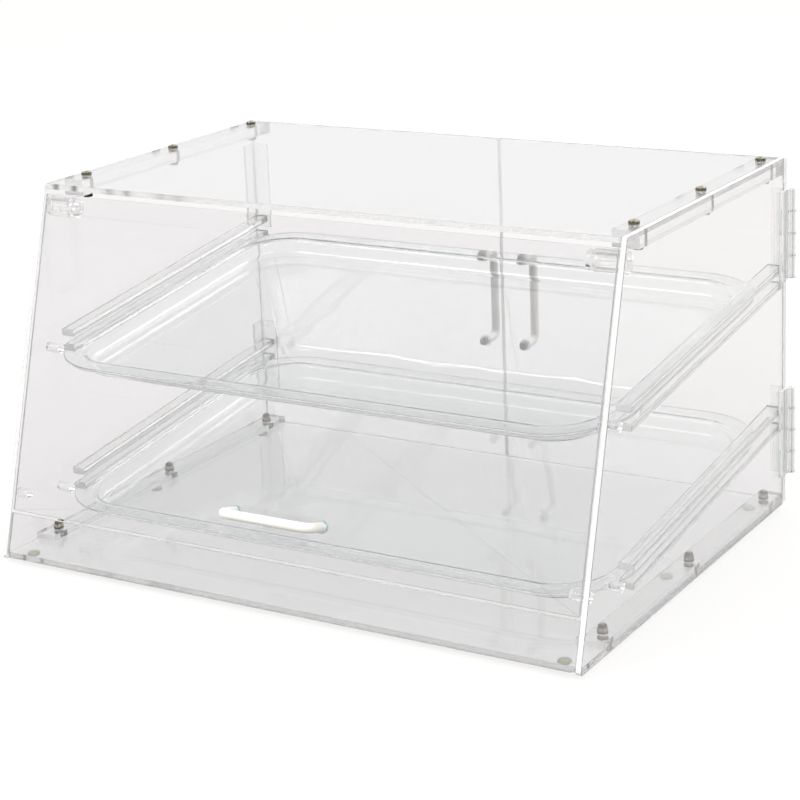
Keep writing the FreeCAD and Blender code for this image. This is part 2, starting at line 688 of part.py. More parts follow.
# A tray's front corners rest against a pair of pins that reach down past the rim's top
def tray_stops(tier, seat):
    rim_top = "%s + Dims.slide_gap + Dims.tray_sheet" % seat_at(seat, "Fit.tray_stop_y")
    z = "(%s + Dims.stop_diameter / 2 - Dims.tray_stop_bite)" % rim_top
    for word, side in SIDES:
        label = "%s_tray_stop_%s" % (tier, word)
        keep(rod(label, "Dims.stop_diameter", "Dims.tray_stop_length", inward(side, "Dims.tray_stop_length"),
                 "Fit.tray_stop_y", z, ALONG_X), label)


# Rear doors close over the case's back edges and meet at the middle. Each has an upright
# handle beside the split, half-way up the case.
REAR_LEG_HEIGHTS = ["(Dims.case_height + %d * Dims.handle_spacing) / 2" % end for end in (-1, 1)]


def rear_door(word, side):
    width = "(Fit.half_width - Dims.split_gap / 2)"
    body = doc.addObject("PartDesign::Body", "rear_door_" + word)
    corners = oblong("0", "0", width, "Dims.case_height - Dims.rear_door_lift")
    pad(body, outline(body, "XZ_Plane", corners), "Dims.panel", reverse=True)
    rounded(body, "Dims.door_corner", lambda e: along(e, Y))
    across = "Dims.rear_handle_inset - Dims.split_gap / 2"
    if side < 0:
        across = "Fit.half_width - Dims.rear_handle_inset"
    handle_holes(body, [(across, "%s - Dims.rear_door_lift" % z) for z in REAR_LEG_HEIGHTS], "Dims.panel")
    place(body, "Dims.split_gap / 2" if side > 0 else "-Fit.half_width",
          "(Dims.base_depth - Dims.panel)", "Dims.rear_door_lift")
    keep(body, "rear_door_" + word)


def rear_handle(word, side):
    x = "%d * Dims.rear_handle_inset" % side
    legs = [((x, "Dims.base_depth", z), (x, "Fit.rear_bar_y", z), (x, "(Dims.base_depth - Dims.panel)", z))
            for z in REAR_LEG_HEIGHTS]
    screws = handle("rear_handle_" + word, legs, UPRIGHT, REARWARD, FRONTWARD, "Dims.panel")
    keep(group("rear_handle_screws_" + word, screws), "rear_handle_screws_" + word)


# Rear hinges: one leaf on the side panel's outer face, one on the door's rear face,
# with interleaved knuckles on a pin
def hinge(place_word, foot, word, side):
    name = "%s_%s" % (place_word, word)
    pitch = "(Dims.hinge_height / %d)" % KNUCKLES
    back_off = "(Dims.knuckle_diameter / 2 + Dims.knuckle_gap)"
    axis_x = "Fit.hinge_x" if side > 0 else "-Fit.hinge_x"
    plate = {
        "side": block("side_plate_" + name, "Dims.leaf", "Dims.leaf_width - " + back_off,
                      "Dims.hinge_height", "Fit.half_width" if side > 0 else "-Fit.half_width - Dims.leaf",
                      "(Fit.hinge_y - Dims.leaf_width)", foot),
        "door": block("door_plate_" + name, "Dims.leaf_width - " + back_off, "Dims.leaf",
                      "Dims.hinge_height",
                      "Fit.hinge_x - Dims.leaf_width" if side > 0 else "%s - Fit.hinge_x" % back_off,
                      "Dims.base_depth", foot),
    }
    knuckle = "(%s - Dims.knuckle_gap)" % pitch
    pieces = {"side": [plate["side"]], "door": [plate["door"]]}
    for number in range(KNUCKLES):
        z = "(%s + %d * %s + Dims.knuckle_gap / 2)" % (foot, number, pitch)
        leaf = "door" if number % 2 == 0 else "side"
        tag = "%s_%d" % (name, number)
        if leaf == "side":
            web = block("web_" + tag, "Dims.leaf", back_off, knuckle,
                        "Fit.half_width" if side > 0 else "-Fit.half_width - Dims.leaf",
                        "(Fit.hinge_y - %s)" % back_off, z)
        else:
            web = block("web_" + tag, back_off, "Dims.leaf", knuckle,
                        "Fit.hinge_x - " + back_off if side > 0 else "-Fit.hinge_x", "Dims.base_depth", z)
        barrel = rod("knuckle_" + tag, "Dims.knuckle_diameter", knuckle, axis_x, "Fit.hinge_y", z)
        pieces[leaf] += [web, barrel]
    for leaf, items in pieces.items():
        bore = rod("bore_%s_%s" % (leaf, name), "Dims.hinge_pin + 2 * Dims.running_gap",
                   "Dims.hinge_height + 2 * Dims.overrun", axis_x, "Fit.hinge_y",
                   "(%s - Dims.overrun)" % foot)
        label = "%s_hinge_%s_leaf_%s" % (place_word, leaf, word)
        keep(cut(label, joined("leaf_%s_%s" % (leaf, name), *items), bore), label)
    label = "%s_hinge_pin_%s" % (place_word, word)
    keep(rod(label, "Dims.hinge_pin", "Dims.hinge_height", axis_x, "Fit.hinge_y", foot), label)


top_panel()
base_panel()
front_lip()
front_door()
front_handle()
for word, side in SIDES:
    side_panel(word, side)
    top_bar(word, side)
    base_strip(word, side)
    door_pivot(word, side)
    door_stop(word, side)
    rear_door(word, side)
    rear_handle(word, side)
    hinge("lower", "Dims.lower_hinge", word, side)
    hinge("upper", "Fit.upper_hinge", word, side)
for tier in ("lower", "upper"):
    seat = "Dims.%s_seat_height" % tier
    tray_rails(tier, seat)
    tray(tier, seat)
    tray_stops(tier, seat)
bushings("top_bushings", "Dims.panel", "Fit.roof_under", TOP_ROW)
bushings("base_bushings", "Dims.strip_height", "Dims.panel", BASE_ROW)
top_screws()
top_nuts()
base_screws()
base_cap_nuts()
feet()
doc.recompute()

for item in doc.Objects:
    if "Invalid" in item.State or "Error" in item.State:
        raise RuntimeError("%s failed: %s" % (item.Label, item.State))
for item in nodes:
    if item.Shape.isNull() or not item.Shape.isValid():
        raise RuntimeError("%s has no valid shape" % item.Label)

os.makedirs("parts", exist_ok=True)
for item in nodes:
    item.Shape.exportStep("parts/%s.step" % item.Label)
print(len(nodes), "sub-parts written")
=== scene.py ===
import json
import math

import bpy
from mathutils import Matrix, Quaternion, Vector


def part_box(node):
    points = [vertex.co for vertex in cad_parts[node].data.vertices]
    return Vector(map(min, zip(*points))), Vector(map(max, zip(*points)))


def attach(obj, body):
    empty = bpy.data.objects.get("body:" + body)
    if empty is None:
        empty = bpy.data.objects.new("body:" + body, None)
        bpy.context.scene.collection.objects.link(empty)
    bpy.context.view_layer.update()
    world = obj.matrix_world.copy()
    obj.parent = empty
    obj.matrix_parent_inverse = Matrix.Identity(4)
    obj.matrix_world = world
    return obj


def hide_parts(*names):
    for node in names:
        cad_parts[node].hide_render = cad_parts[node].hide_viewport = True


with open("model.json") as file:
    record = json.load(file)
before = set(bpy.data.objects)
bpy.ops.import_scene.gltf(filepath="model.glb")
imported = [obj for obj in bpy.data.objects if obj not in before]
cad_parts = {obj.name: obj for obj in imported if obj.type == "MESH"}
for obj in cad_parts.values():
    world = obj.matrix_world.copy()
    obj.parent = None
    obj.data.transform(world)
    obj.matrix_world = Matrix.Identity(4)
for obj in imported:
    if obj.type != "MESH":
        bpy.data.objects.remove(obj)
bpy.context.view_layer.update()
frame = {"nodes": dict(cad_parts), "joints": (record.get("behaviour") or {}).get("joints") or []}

# ---------------------------------------------------------------- panels, bars and strips
# The case is cut from clear cast acrylic sheet and bar. Every piece is sawn, which frosts its
# edges nearly white, scraped to a small arris, and glued to its neighbour with solvent, which
# leaves a hair's breadth that catches the light.
ACRYLIC_IOR = 1.49
# The sheets' tint is darker than the acrylic's own faint tint: painted shade for the darker room
# that the clear faces reflect. The base sheet keeps a near-clear tint.
CLEAR_TINT_AND_SHADE = (0.865, 0.86, 0.868)
BASE_CLEAR = (0.97, 0.965, 0.96)
BAR_CLEAR = (0.985, 0.988, 0.982)
FROST = (0.94, 0.94, 0.935)
# Dark lines laid on the scraped arrises: painted shade along the clear edges.
ARRIS_PAINTED_SHADE = (0.12, 0.11, 0.09)
BASE_ARRIS_PAINTED_SHADE = (0.6, 0.59, 0.55)
GLUE_LINE = 0.00004
ARRIS = 0.0006
BAR_ARRIS = 0.0008

# How far a face's normal lies along an axis: the share where a material begins to change and
# the share where it has changed.
ARRIS_FROM, ARRIS_FULL = 0.94, 0.86
FACE_ON, EDGE_ON = 0.35, 0.12
ENDS_FROM, ENDS_FULL = 0.9, 0.97

SAW_MARKS = 700.0
SAWN_ROUGH = (0.1, 0.3)
SAWN_THROUGH = (0.2, 0.5)


def feed(skin, node, inputs):
    """Set a node's inputs, and link those whose value is another node's output."""
    for socket, value in inputs.items():
        if isinstance(value, bpy.types.NodeSocket):
            skin.node_tree.links.new(value, node.inputs[socket])
        else:
            node.inputs[socket].default_value = value


def add_step(skin, kind, inputs, **choices):
    """A new node of a kind in a material, with its choices made and its inputs fed."""
    node = skin.node_tree.nodes.new("ShaderNode" + kind)
    for choice, value in choices.items():
        setattr(node, choice, value)
    feed(skin, node, inputs)
    return node


def surface(name, inputs):
    """A new material and its shader, with these values on the shader's own sockets."""
    skin = bpy.data.materials.new(name)
    skin.use_nodes = True
    shader = skin.node_tree.nodes["Principled BSDF"]
    feed(skin, shader, inputs)
    return skin, shader


def clear_acrylic(name, clear, axis, sawn_at, clear_at, rough=0.0, through=1.0,
                  arris_shade_or_frost=ARRIS_PAINTED_SHADE, scraped=0.0, cut=SAWN_THROUGH):
    """Clear acrylic that is sawn and frosted where its normal's share along an axis is sawn_at,
    and whose scraped arrises, which face no axis, take the line colour: painted shade on the
    sheets and hinges, frost on the bars."""
    skin, shader = surface(name, {"IOR": ACRYLIC_IOR})
    where = add_step(skin, "TexCoord", {})
    size = add_step(skin, "VectorMath", {0: where.outputs["Normal"]}, operation="ABSOLUTE")
    parts = add_step(skin, "SeparateXYZ", {"Vector": size.outputs["Vector"]})
    if sawn_at < clear_at:
        # A thin sheet's rounded corners face its own plane, so they count as sawn, not scraped.
        lean = add_step(skin, "Math", {0: parts.outputs[axis]}, operation="ARCCOSINE")
        across = add_step(skin, "Math", {0: lean.outputs[0]}, operation="SINE")
        last = axis
    else:
        across = add_step(skin, "Math", {0: parts.outputs["X"], 1: parts.outputs["Y"]},
                          operation="MAXIMUM")
        last = "Z"
    widest = add_step(skin, "Math", {0: across.outputs[0], 1: parts.outputs[last]},
                      operation="MAXIMUM")
    arris = add_step(skin, "MapRange", {"Value": widest.outputs[0], "From Min": ARRIS_FROM,
                                        "From Max": ARRIS_FULL})
    sawn = add_step(skin, "MapRange", {"Value": parts.outputs[axis], "From Min": clear_at,
                                       "From Max": sawn_at})
    scrape = add_step(skin, "Math", {0: arris.outputs["Result"], 1: scraped,
                                     2: sawn.outputs["Result"]},
                      operation="MULTIPLY_ADD", use_clamp=True)
    marks = add_step(skin, "TexNoise", {"Vector": where.outputs["Object"], "Scale": SAW_MARKS,
                                        "Detail": 2.0})
    tint = add_step(skin, "Mix", {"Factor": sawn.outputs["Result"], "A": (*clear, 1),
                                  "B": (*FROST, 1)}, data_type="RGBA")
    edge = add_step(skin, "Mix", {"Factor": arris.outputs["Result"], "A": tint.outputs["Result"],
                                  "B": (*arris_shade_or_frost, 1)}, data_type="RGBA")
    feed(skin, shader, {"Base Color": edge.outputs["Result"]})
    for socket, polished, (low, high) in (("Roughness", rough, SAWN_ROUGH),
                                          ("Transmission Weight", through, cut)):
        uneven = add_step(skin, "MapRange", {"Value": marks.outputs["Fac"], "To Min": low,
                                             "To Max": high})
        either = add_step(skin, "Mix", {"Factor": scrape.outputs[0], "A": polished,
                                        "B": uneven.outputs["Result"]})
        feed(skin, shader, {socket: either.outputs["Result"]})
    return skin


def from_frame(node, ending):
    """A new mesh piece over a CAD node, its triangles merged back into flat faces."""
    bpy.ops.object.select_all(action="DESELECT")
    piece = bpy.data.objects.new(node + ending, frame["nodes"][node].data.copy())
    bpy.context.collection.objects.link(piece)
    bpy.context.view_layer.objects.active = piece
    piece.select_set(True)
    bpy.ops.mesh.customdata_custom_splitnormals_clear()
    bpy.ops.object.mode_set(mode="EDIT")
    bpy.ops.mesh.select_all(action="SELECT")
    bpy.ops.mesh.remove_doubles(threshold=1e-6)
    bpy.ops.mesh.dissolve_limited(angle_limit=math.radians(0.5))
    bpy.ops.object.mode_set(mode="OBJECT")
    return piece


def round_edges(piece, width, segments, sharper_than):
    """Round every edge that is sharper than an angle in degrees."""
    rounds = piece.modifiers.new("rounds", "BEVEL")
    rounds.width = width
    rounds.segments = segments
    rounds.limit_method = "ANGLE"
    rounds.angle_limit = math.radians(sharper_than)
    bpy.ops.object.modifier_apply(modifier=rounds.name)


def shade_rounds(piece, smooth):
    """Shade the rounds smooth and keep the broad faces flat."""
    bpy.ops.object.shade_smooth_by_angle(angle=math.radians(smooth))
    true_faces = piece.modifiers.new("true_faces", "WEIGHTED_NORMAL")
    true_faces.weight = 100
    true_faces.keep_sharp = True
    bpy.ops.object.modifier_apply(modifier=true_faces.name)


def finish_edges(piece, arris, segments=2, shrink=0.0, smooth=40):
    """Draw the faces in by the glue line, round the edges and shade the rounds smooth."""
    bpy.context.view_layer.objects.active = piece
    if shrink:
        drawn_in = piece.modifiers.new("glue_line", "DISPLACE")
        drawn_in.strength = -shrink
        drawn_in.mid_level = 0.0
        bpy.ops.object.modifier_apply(modifier=drawn_in.name)
    round_edges(piece, arris, segments, 30)
    shade_rounds(piece, smooth)


def stand_for(piece, slot, body, *nodes):
    """Give a finished piece its body and the CAD nodes that it stands for."""
    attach(piece, body)
    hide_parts(*nodes)


def dress(piece, skin, slot, body, *nodes):
    """Give a finished piece its one material, its body and its CAD nodes."""
    piece.data.materials.clear()
    piece.data.materials.append(skin)
    stand_for(piece, slot, body, *nodes)


sideways = clear_acrylic("clear_sheet_side", CLEAR_TINT_AND_SHADE, "X", EDGE_ON, FACE_ON)
flatwise = clear_acrylic("clear_sheet_level", CLEAR_TINT_AND_SHADE, "Y", ENDS_FULL, ENDS_FROM, cut=(0.75, 0.95))
low_sheet = clear_acrylic("clear_sheet_base", BASE_CLEAR, "Y", ENDS_FULL, ENDS_FROM,
                          arris_shade_or_frost=BASE_ARRIS_PAINTED_SHADE, cut=(0.85, 0.98))
upright = clear_acrylic("clear_sheet_front", CLEAR_TINT_AND_SHADE, "Y", EDGE_ON, FACE_ON)
polished_edge, _ = surface("polished_lower_edge", {
    "Base Color": (*BASE_CLEAR, 1), "Transmission Weight": 1.0, "IOR": ACRYLIC_IOR,
    "Roughness": 0.05})
for node, skin in (("base_panel", low_sheet), ("top_panel", flatwise), ("front_lip", upright),
                   ("side_panel_left", sideways), ("side_panel_right", sideways)):
    panel = from_frame(node, "_sheet")
    finish_edges(panel, ARRIS, shrink=GLUE_LINE)
    dress(panel, skin, "clear_sheet", "case", node)
    if skin is sideways:
        panel.data.materials.append(polished_edge)
        for face in panel.data.polygons:
            if face.normal.z < -0.9:
                face.material_index = 1

bar_skin = clear_acrylic("clear_bar", BAR_CLEAR, "Y", ENDS_FULL, ENDS_FROM, rough=0.01,
                         through=0.96, arris_shade_or_frost=FROST, scraped=0.8, cut=(0.0, 0.1))
rails = ["%s_%s_%s" % (tier, level, side) for tier in ("lower_tray", "upper_tray")
         for level in ("lower_rail", "upper_rail") for side in ("left", "right")]
for node in ["top_bar_left", "top_bar_right", "base_strip_left", "base_strip_right"] + rails:
    bar = from_frame(node, "_bar")
    finish_edges(bar, BAR_ARRIS, shrink=GLUE_LINE)
    dress(bar, bar_skin, "clear_bar", "case", node)

# ---------------------------------------------------------------- bushings
# Clear nylon rings, moulded, that line the holes in the sheet so that a tightened screw
# doesn't crack it. They are pressed in by hand before the screws go through.
BUSHING_RADIUS = 0.004
BORE_RADIUS = 0.00205
BUSHING_ARRIS = 0.0003
UP = Vector((0, 0, 1))


def ring(name, centre, axis, outer, inner, height, arris, sides=32):
    """A flat ring with rounded rims whose low face is centred on a point."""
    bpy.ops.object.select_all(action="DESELECT")
    bpy.ops.mesh.primitive_circle_add(vertices=sides, radius=outer, fill_type="NGON",
                                      location=centre,
                                      rotation=axis.to_track_quat("Z", "Y").to_euler())
    piece = bpy.context.active_object
    piece.name = name
    bpy.ops.object.mode_set(mode="EDIT")
    bpy.ops.mesh.select_all(action="SELECT")
    bpy.ops.mesh.inset(thickness=outer - inner)
    bpy.ops.mesh.delete(type="ONLY_FACE")
    bpy.ops.mesh.select_all(action="SELECT")
    bpy.ops.mesh.extrude_region_move(TRANSFORM_OT_translate={"value": tuple(axis * height)})
    bpy.ops.mesh.select_all(action="SELECT")
    bpy.ops.mesh.normals_make_consistent(inside=False)
    bpy.ops.object.mode_set(mode="OBJECT")
    bpy.ops.object.transform_apply(location=True, rotation=True, scale=True)
    finish_edges(piece, arris, segments=3)
    return piece


def copied(piece, name, step):
    """Another of a finished piece, moved by a step, with a mesh of its own."""
    bpy.ops.object.select_all(action="DESELECT")
    twin = piece.copy()
    twin.data = piece.data.copy()
    twin.name = name
    bpy.context.collection.objects.link(twin)
    bpy.context.view_layer.objects.active = twin
    twin.select_set(True)
    twin.location = step
    bpy.ops.object.transform_apply(location=True, rotation=False, scale=False)
    return twin


def merged(name, pieces):
    """Several like pieces as one object."""
    bpy.ops.object.select_all(action="DESELECT")
    for piece in pieces:
        piece.select_set(True)
    bpy.context.view_layer.objects.active = pieces[0]
    bpy.ops.object.join()
    pieces[0].name = name
    return pieces[0]


def six_places(low, high, radius):
    """Three places along each side of the case, where round pieces fill a box."""
    return [Vector((x, y, low.z)) for x in (low.x + radius, high.x - radius)
            for y in (low.y + radius, (low.y + high.y) / 2, high.y - radius)]


def all_six(name, first, row):
    """A finished piece at the first place and its copies at the others, as one object."""
    return merged(name, [first] + [copied(first, "%s_%d" % (name, i), spot - row[0])
                                   for i, spot in enumerate(row) if i])


nylon, _ = surface("clear_nylon", {"Base Color": (0.86, 0.88, 0.87, 1),
                                   "Transmission Weight": 1.0, "IOR": 1.53, "Roughness": 0.12})
for place in ("base", "top"):
    low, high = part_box(place + "_bushings")
    row = six_places(low, high, BUSHING_RADIUS)
    first = ring(place + "_bush", row[0], UP, BUSHING_RADIUS - GLUE_LINE, BORE_RADIUS,
                 high.z - low.z - GLUE_LINE, BUSHING_ARRIS)
    dress(all_six(place + "_nylon_bushings", first, row), nylon, "clear_bushing", "case",
          place + "_bushings")

# ---------------------------------------------------------------- screws and nuts
# Steel, with a dark bright plating. The top screws have fluted heads with a deep socket, and
# plain round nuts under the bars. The base screws come from below, and a lock nut, which is a
# washer face, a hexagon and a collar in one, holds each above its strip. Each screw's and lock
# nut's parts carry different plated tones: painted highlight on their tops, painted shade on
# their sides, under the hexagon and in the socket.
SCREW_HEAD_RADIUS = 0.0044
SHANK_RADIUS = 0.002
PLATING_GLINT_SCALE = 700.0
GLINT_FROM, GLINT_FULL = 0.38, 0.62


def plated(name, dark, bright, rough):
    """Bright plating broken into dark and bright patches: painted reflections and glints."""
    skin, shader = surface(name, {"Metallic": 1.0})
    where = add_step(skin, "TexCoord", {})
    glints = add_step(skin, "TexNoise", {"Vector": where.outputs["Object"], "Scale": PLATING_GLINT_SCALE})
    glint_patches = add_step(skin, "MapRange", {"Value": glints.outputs["Fac"], "From Min": GLINT_FROM,
                                          "From Max": GLINT_FULL})
    tone = add_step(skin, "Mix", {"Factor": glint_patches.outputs["Result"], "A": (*dark, 1),
                                  "B": (*bright, 1)}, data_type="RGBA")
    spread = add_step(skin, "MapRange", {"Value": glints.outputs["Fac"], "To Min": rough * 0.7,
                                         "To Max": rough * 1.3})
    feed(skin, shader, {"Base Color": tone.outputs["Result"],
                        "Roughness": spread.outputs["Result"]})
    return skin


# Each tone is the plating's own, made darker still: painted reflection of a darker room.
dark_plate = plated("dark_plating", (0.05, 0.045, 0.03), (0.24, 0.225, 0.17), 0.14)
olive_plate = plated("olive_plating", (0.3, 0.29, 0.21), (0.62, 0.6, 0.48), 0.16)
black_plate = plated("black_oxide", (0.01, 0.01, 0.01), (0.03, 0.028, 0.025), 0.4)
brown_plate = plated("brown_plating", (0.05, 0.035, 0.025), (0.16, 0.125, 0.09), 0.2)
bright_plate = plated("bright_plating", (0.14, 0.115, 0.085), (0.68, 0.62, 0.53), 0.14)


def rod_between(name, low, high, radius, arris=0.0003, sides=24):
    """A plain turned rod from one point to another, with its rims broken."""
    bpy.ops.object.select_all(action="DESELECT")
    bpy.ops.mesh.primitive_cylinder_add(vertices=sides, radius=radius, depth=(high - low).length,
                                        location=(low + high) / 2,
                                        rotation=(high - low).to_track_quat("Z", "Y").to_euler())
    piece = bpy.context.active_object
    piece.name = name
    bpy.ops.object.transform_apply(location=True, rotation=True, scale=True)
    finish_edges(piece, arris, segments=3)
    return piece


def joined_in(name, *plated_pieces):
    """Several pieces as one object, each with a material of its own."""
    for piece, skin in plated_pieces:
        piece.data.materials.clear()
        piece.data.materials.append(skin)
    return merged(name, [piece for piece, skin in plated_pieces])


def fluted_screw(name, foot, seat, head_top):
    """One screw standing on +Z: a shank up to the seat and a fluted head with a deep socket.
    Its lighter crown is painted highlight; its darker head sides, shank and the near-black disc
    at the socket's floor are painted shade.
    """
    flutes, flute_depth = 32, 0.07
    wall_share, crown_share, socket_share, bore_share = 0.7, 0.84, 0.5, 0.42
    socket_floor = 0.0002
    middle = Vector((foot.x, foot.y, seat))
    wall = (head_top - seat) * wall_share
    shank = rod_between("shank", foot, middle, SHANK_RADIUS)
    crown = ring("crown", middle + UP * (wall - socket_floor), UP, SCREW_HEAD_RADIUS * crown_share,
                 SCREW_HEAD_RADIUS * bore_share, head_top - seat - wall + socket_floor, 0.00045)
    socket = rod_between("socket", middle + UP * wall, middle + UP * (wall + socket_floor),
                         SCREW_HEAD_RADIUS * socket_share, 0.00005)
    bpy.ops.object.select_all(action="DESELECT")
    bpy.ops.mesh.primitive_cylinder_add(vertices=2 * flutes, radius=SCREW_HEAD_RADIUS, depth=wall,
                                        location=middle + UP * wall / 2)
    head = bpy.context.active_object
    bpy.ops.object.transform_apply(location=True, rotation=True, scale=True)
    for vertex in head.data.vertices:
        vertex.select = vertex.index // 2 % 2 == 0
    for edge in head.data.edges:
        edge.select = all(head.data.vertices[v].select for v in edge.vertices)
    for face in head.data.polygons:
        face.select = False
    bpy.ops.object.mode_set(mode="EDIT")
    bpy.ops.mesh.select_mode(type="VERT")
    bpy.ops.transform.resize(value=(1 - flute_depth, 1 - flute_depth, 1), center_override=middle)
    bpy.ops.object.mode_set(mode="OBJECT")
    finish_edges(head, 0.00025, smooth=20)
    # Lit and shaded tones of one plating: olive crown for painted highlight, dark sides, brown
    # shank and black socket disc for painted shade.
    return joined_in(name, (head, dark_plate), (crown, olive_plate), (shank, brown_plate),
                     (socket, black_plate))


low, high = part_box("top_screws")
row = six_places(low, high, SCREW_HEAD_RADIUS)
first = fluted_screw("top_screw", row[0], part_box("top_panel")[1].z + GLUE_LINE, high.z)
stand_for(all_six("top_fluted_screws", first, row), "dark_screw", "case", "top_screws")

ROUND_NUT_RADIUS = 0.004
nut_low, nut_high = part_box("top_nuts")
first = ring("top_nut", Vector((row[0].x, row[0].y, nut_low.z)), UP, ROUND_NUT_RADIUS,
             BORE_RADIUS, nut_high.z - nut_low.z - GLUE_LINE, 0.0006, sides=24)
dress(all_six("top_round_nuts", first, row), black_plate, "dark_nut", "case", "top_nuts")

low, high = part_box("base_screws")
row = six_places(low, high, SCREW_HEAD_RADIUS)
under = Vector((row[0].x, row[0].y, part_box("base_panel")[0].z - GLUE_LINE))
head = rod_between("base_head", row[0], under, SCREW_HEAD_RADIUS, 0.0006, sides=40)
shank = rod_between("base_shank", under, Vector((under.x, under.y, high.z)), SHANK_RADIUS)
first = merged("base_screw", [head, shank])
dress(all_six("base_low_screws", first, row), dark_plate, "dark_screw", "case", "base_screws")

FACE_FOOT, FACE_TOP, FACE_RADIUS = 0.00003, 0.0007, 0.0043
HEXAGON_TOP, HEXAGON_RADIUS = 0.0041, 0.0042
COLLAR_HEIGHT, COLLAR_RADIUS, COLLAR_BORE = 0.002, 0.0034, 0.0021
END_FOOT, END_TOP, END_RADIUS = 0.003, 0.0072, 0.00195
seat = Vector((row[0].x, row[0].y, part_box("base_cap_nuts")[0].z))
face = rod_between("nut_face", seat + UP * FACE_FOOT, seat + UP * FACE_TOP, FACE_RADIUS, 0.0002,
                   sides=40)
hexagon = rod_between("nut_body", seat + UP * FACE_TOP, seat + UP * HEXAGON_TOP, HEXAGON_RADIUS,
                      0.0004, sides=6)
collar = ring("nut_collar", seat + UP * HEXAGON_TOP, UP, COLLAR_RADIUS, COLLAR_BORE,
              COLLAR_HEIGHT, 0.0005)
end = rod_between("screw_end", seat + UP * END_FOOT, seat + UP * END_TOP, END_RADIUS, 0.0004)
# One piece of steel in four tones: the black face under the hexagon and the darker brown collar
# are painted shade, the olive screw end is painted highlight.
first = joined_in("lock_nut", (face, black_plate), (hexagon, bright_plate), (collar, brown_plate),
                  (end, olive_plate))
stand_for(all_six("base_lock_nuts", first, row), "dark_nut", "case", "base_cap_nuts")

# ---------------------------------------------------------------- feet
# Soft translucent bumpers, moulded in polyurethane and stuck under the base, yellow-green
# where the light comes through them.
FOOT_RADIUS = 0.0055
FOOT_TAPER = 0.0006
FOOT_ROUND = 0.0016
bumper, _ = surface("soft_bumper", {"Base Color": (0.74, 0.77, 0.5, 1),
                                    "Transmission Weight": 0.75, "IOR": 1.45, "Roughness": 0.3})
low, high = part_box("feet")
row = six_places(low, high, FOOT_RADIUS)
foot_height = high.z - low.z - GLUE_LINE
bpy.ops.object.select_all(action="DESELECT")
bpy.ops.mesh.primitive_cone_add(vertices=40, radius1=FOOT_RADIUS - FOOT_TAPER,
                                radius2=FOOT_RADIUS, depth=foot_height,
                                location=row[0] + UP * foot_height / 2)
foot = bpy.context.active_object
foot.name = "bumper_0"
bpy.ops.object.transform_apply(location=True, rotation=True, scale=True)
for edge in foot.data.edges:
    edge.select = all(foot.data.vertices[v].co.z < 0.0001 for v in edge.vertices)
bpy.ops.object.mode_set(mode="EDIT")
bpy.ops.mesh.select_mode(type="EDGE")
bpy.ops.mesh.bevel(offset=FOOT_ROUND, segments=6, affect="EDGES")
bpy.ops.object.mode_set(mode="OBJECT")
bpy.ops.object.shade_smooth_by_angle(angle=math.radians(40))
dress(all_six("soft_bumpers", foot, row), bumper, "soft_foot", "case", "feet")

# ---------------------------------------------------------------- pins and barrels
# Clear acrylic rod, cut to length, faced and glued to the side panels: the pivots' pins and
# caps, and the pins that stop the front door and the trays. The door's two barrels are the
# same rod, bored for the pivots' pins.
PIN_ARRIS = 0.0006
BARREL_ARRIS = 0.0005
rod_skin, _ = surface("clear_rod", {"Base Color": (0.95, 0.95, 0.945, 1),
                                    "Transmission Weight": 1.0, "IOR": ACRYLIC_IOR,
                                    "Roughness": 0.02})
for side in ("left", "right"):
    for node in ("door_stop_" + side, "lower_tray_stop_" + side, "upper_tray_stop_" + side,
                 "pivot_pin_" + side, "pivot_cap_" + side):
        low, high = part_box(node)
        middle, half = (low + high) / 2, Vector(((high.x - low.x) / 2 - GLUE_LINE, 0, 0))
        pin = rod_between(node + "_rod", middle - half, middle + half,
                          (high.z - low.z) / 2 - GLUE_LINE, PIN_ARRIS, sides=48)
        dress(pin, rod_skin, "clear_rod", "case", node)
    barrel = from_frame("door_barrel_" + side, "_tube")
    finish_edges(barrel, BARREL_ARRIS, shrink=GLUE_LINE)
    dress(barrel, rod_skin, "clear_rod", "front_door", "door_barrel_" + side)

# ---------------------------------------------------------------- trays
# Each tray is one clear acrylic sheet, heated and drawn over a form: a flat rim that slides on
# the rails, corners of 60 mm radius and a floor sunk by 14 mm. The rim's edge is buffed round.
TRAY_SHEET = 0.0024
TRAY_RIM = 0.0194
TRAY_CORNER = 0.06
TRAY_DEPTH = 0.014
TRAY_BEND = 0.0055
RIM_BUFF = 0.0009
tray_skin, shader = surface("clear_formed_tray", {
    "Base Color": (0.93, 0.945, 0.945, 1), "Transmission Weight": 1.0, "IOR": ACRYLIC_IOR,
    "Roughness": 0.0})
where = add_step(tray_skin, "TexCoord", {})
drawn = add_step(tray_skin, "TexNoise", {"Vector": where.outputs["Object"], "Scale": 14.0,
                                         "Detail": 1.0})
ripple = add_step(tray_skin, "Bump", {"Height": drawn.outputs["Fac"], "Strength": 0.12,
                                      "Distance": 0.002})
feed(tray_skin, shader, {"Normal": ripple.outputs["Normal"]})

rim_skin, shader = surface("trimmed_rim_edge", {
    "Base Color": (*FROST, 1), "Transmission Weight": 0.15, "IOR": ACRYLIC_IOR,
    "Specular IOR Level": 1.0, "Coat Weight": 1.0, "Coat Roughness": 0.03})
where = add_step(rim_skin, "TexCoord", {})
trim = add_step(rim_skin, "TexNoise", {"Vector": where.outputs["Object"], "Scale": 500.0})
dull = add_step(rim_skin, "MapRange", {"Value": trim.outputs["Fac"], "To Min": 0.05,
                                       "To Max": 0.16})
feed(rim_skin, shader, {"Roughness": dull.outputs["Result"]})

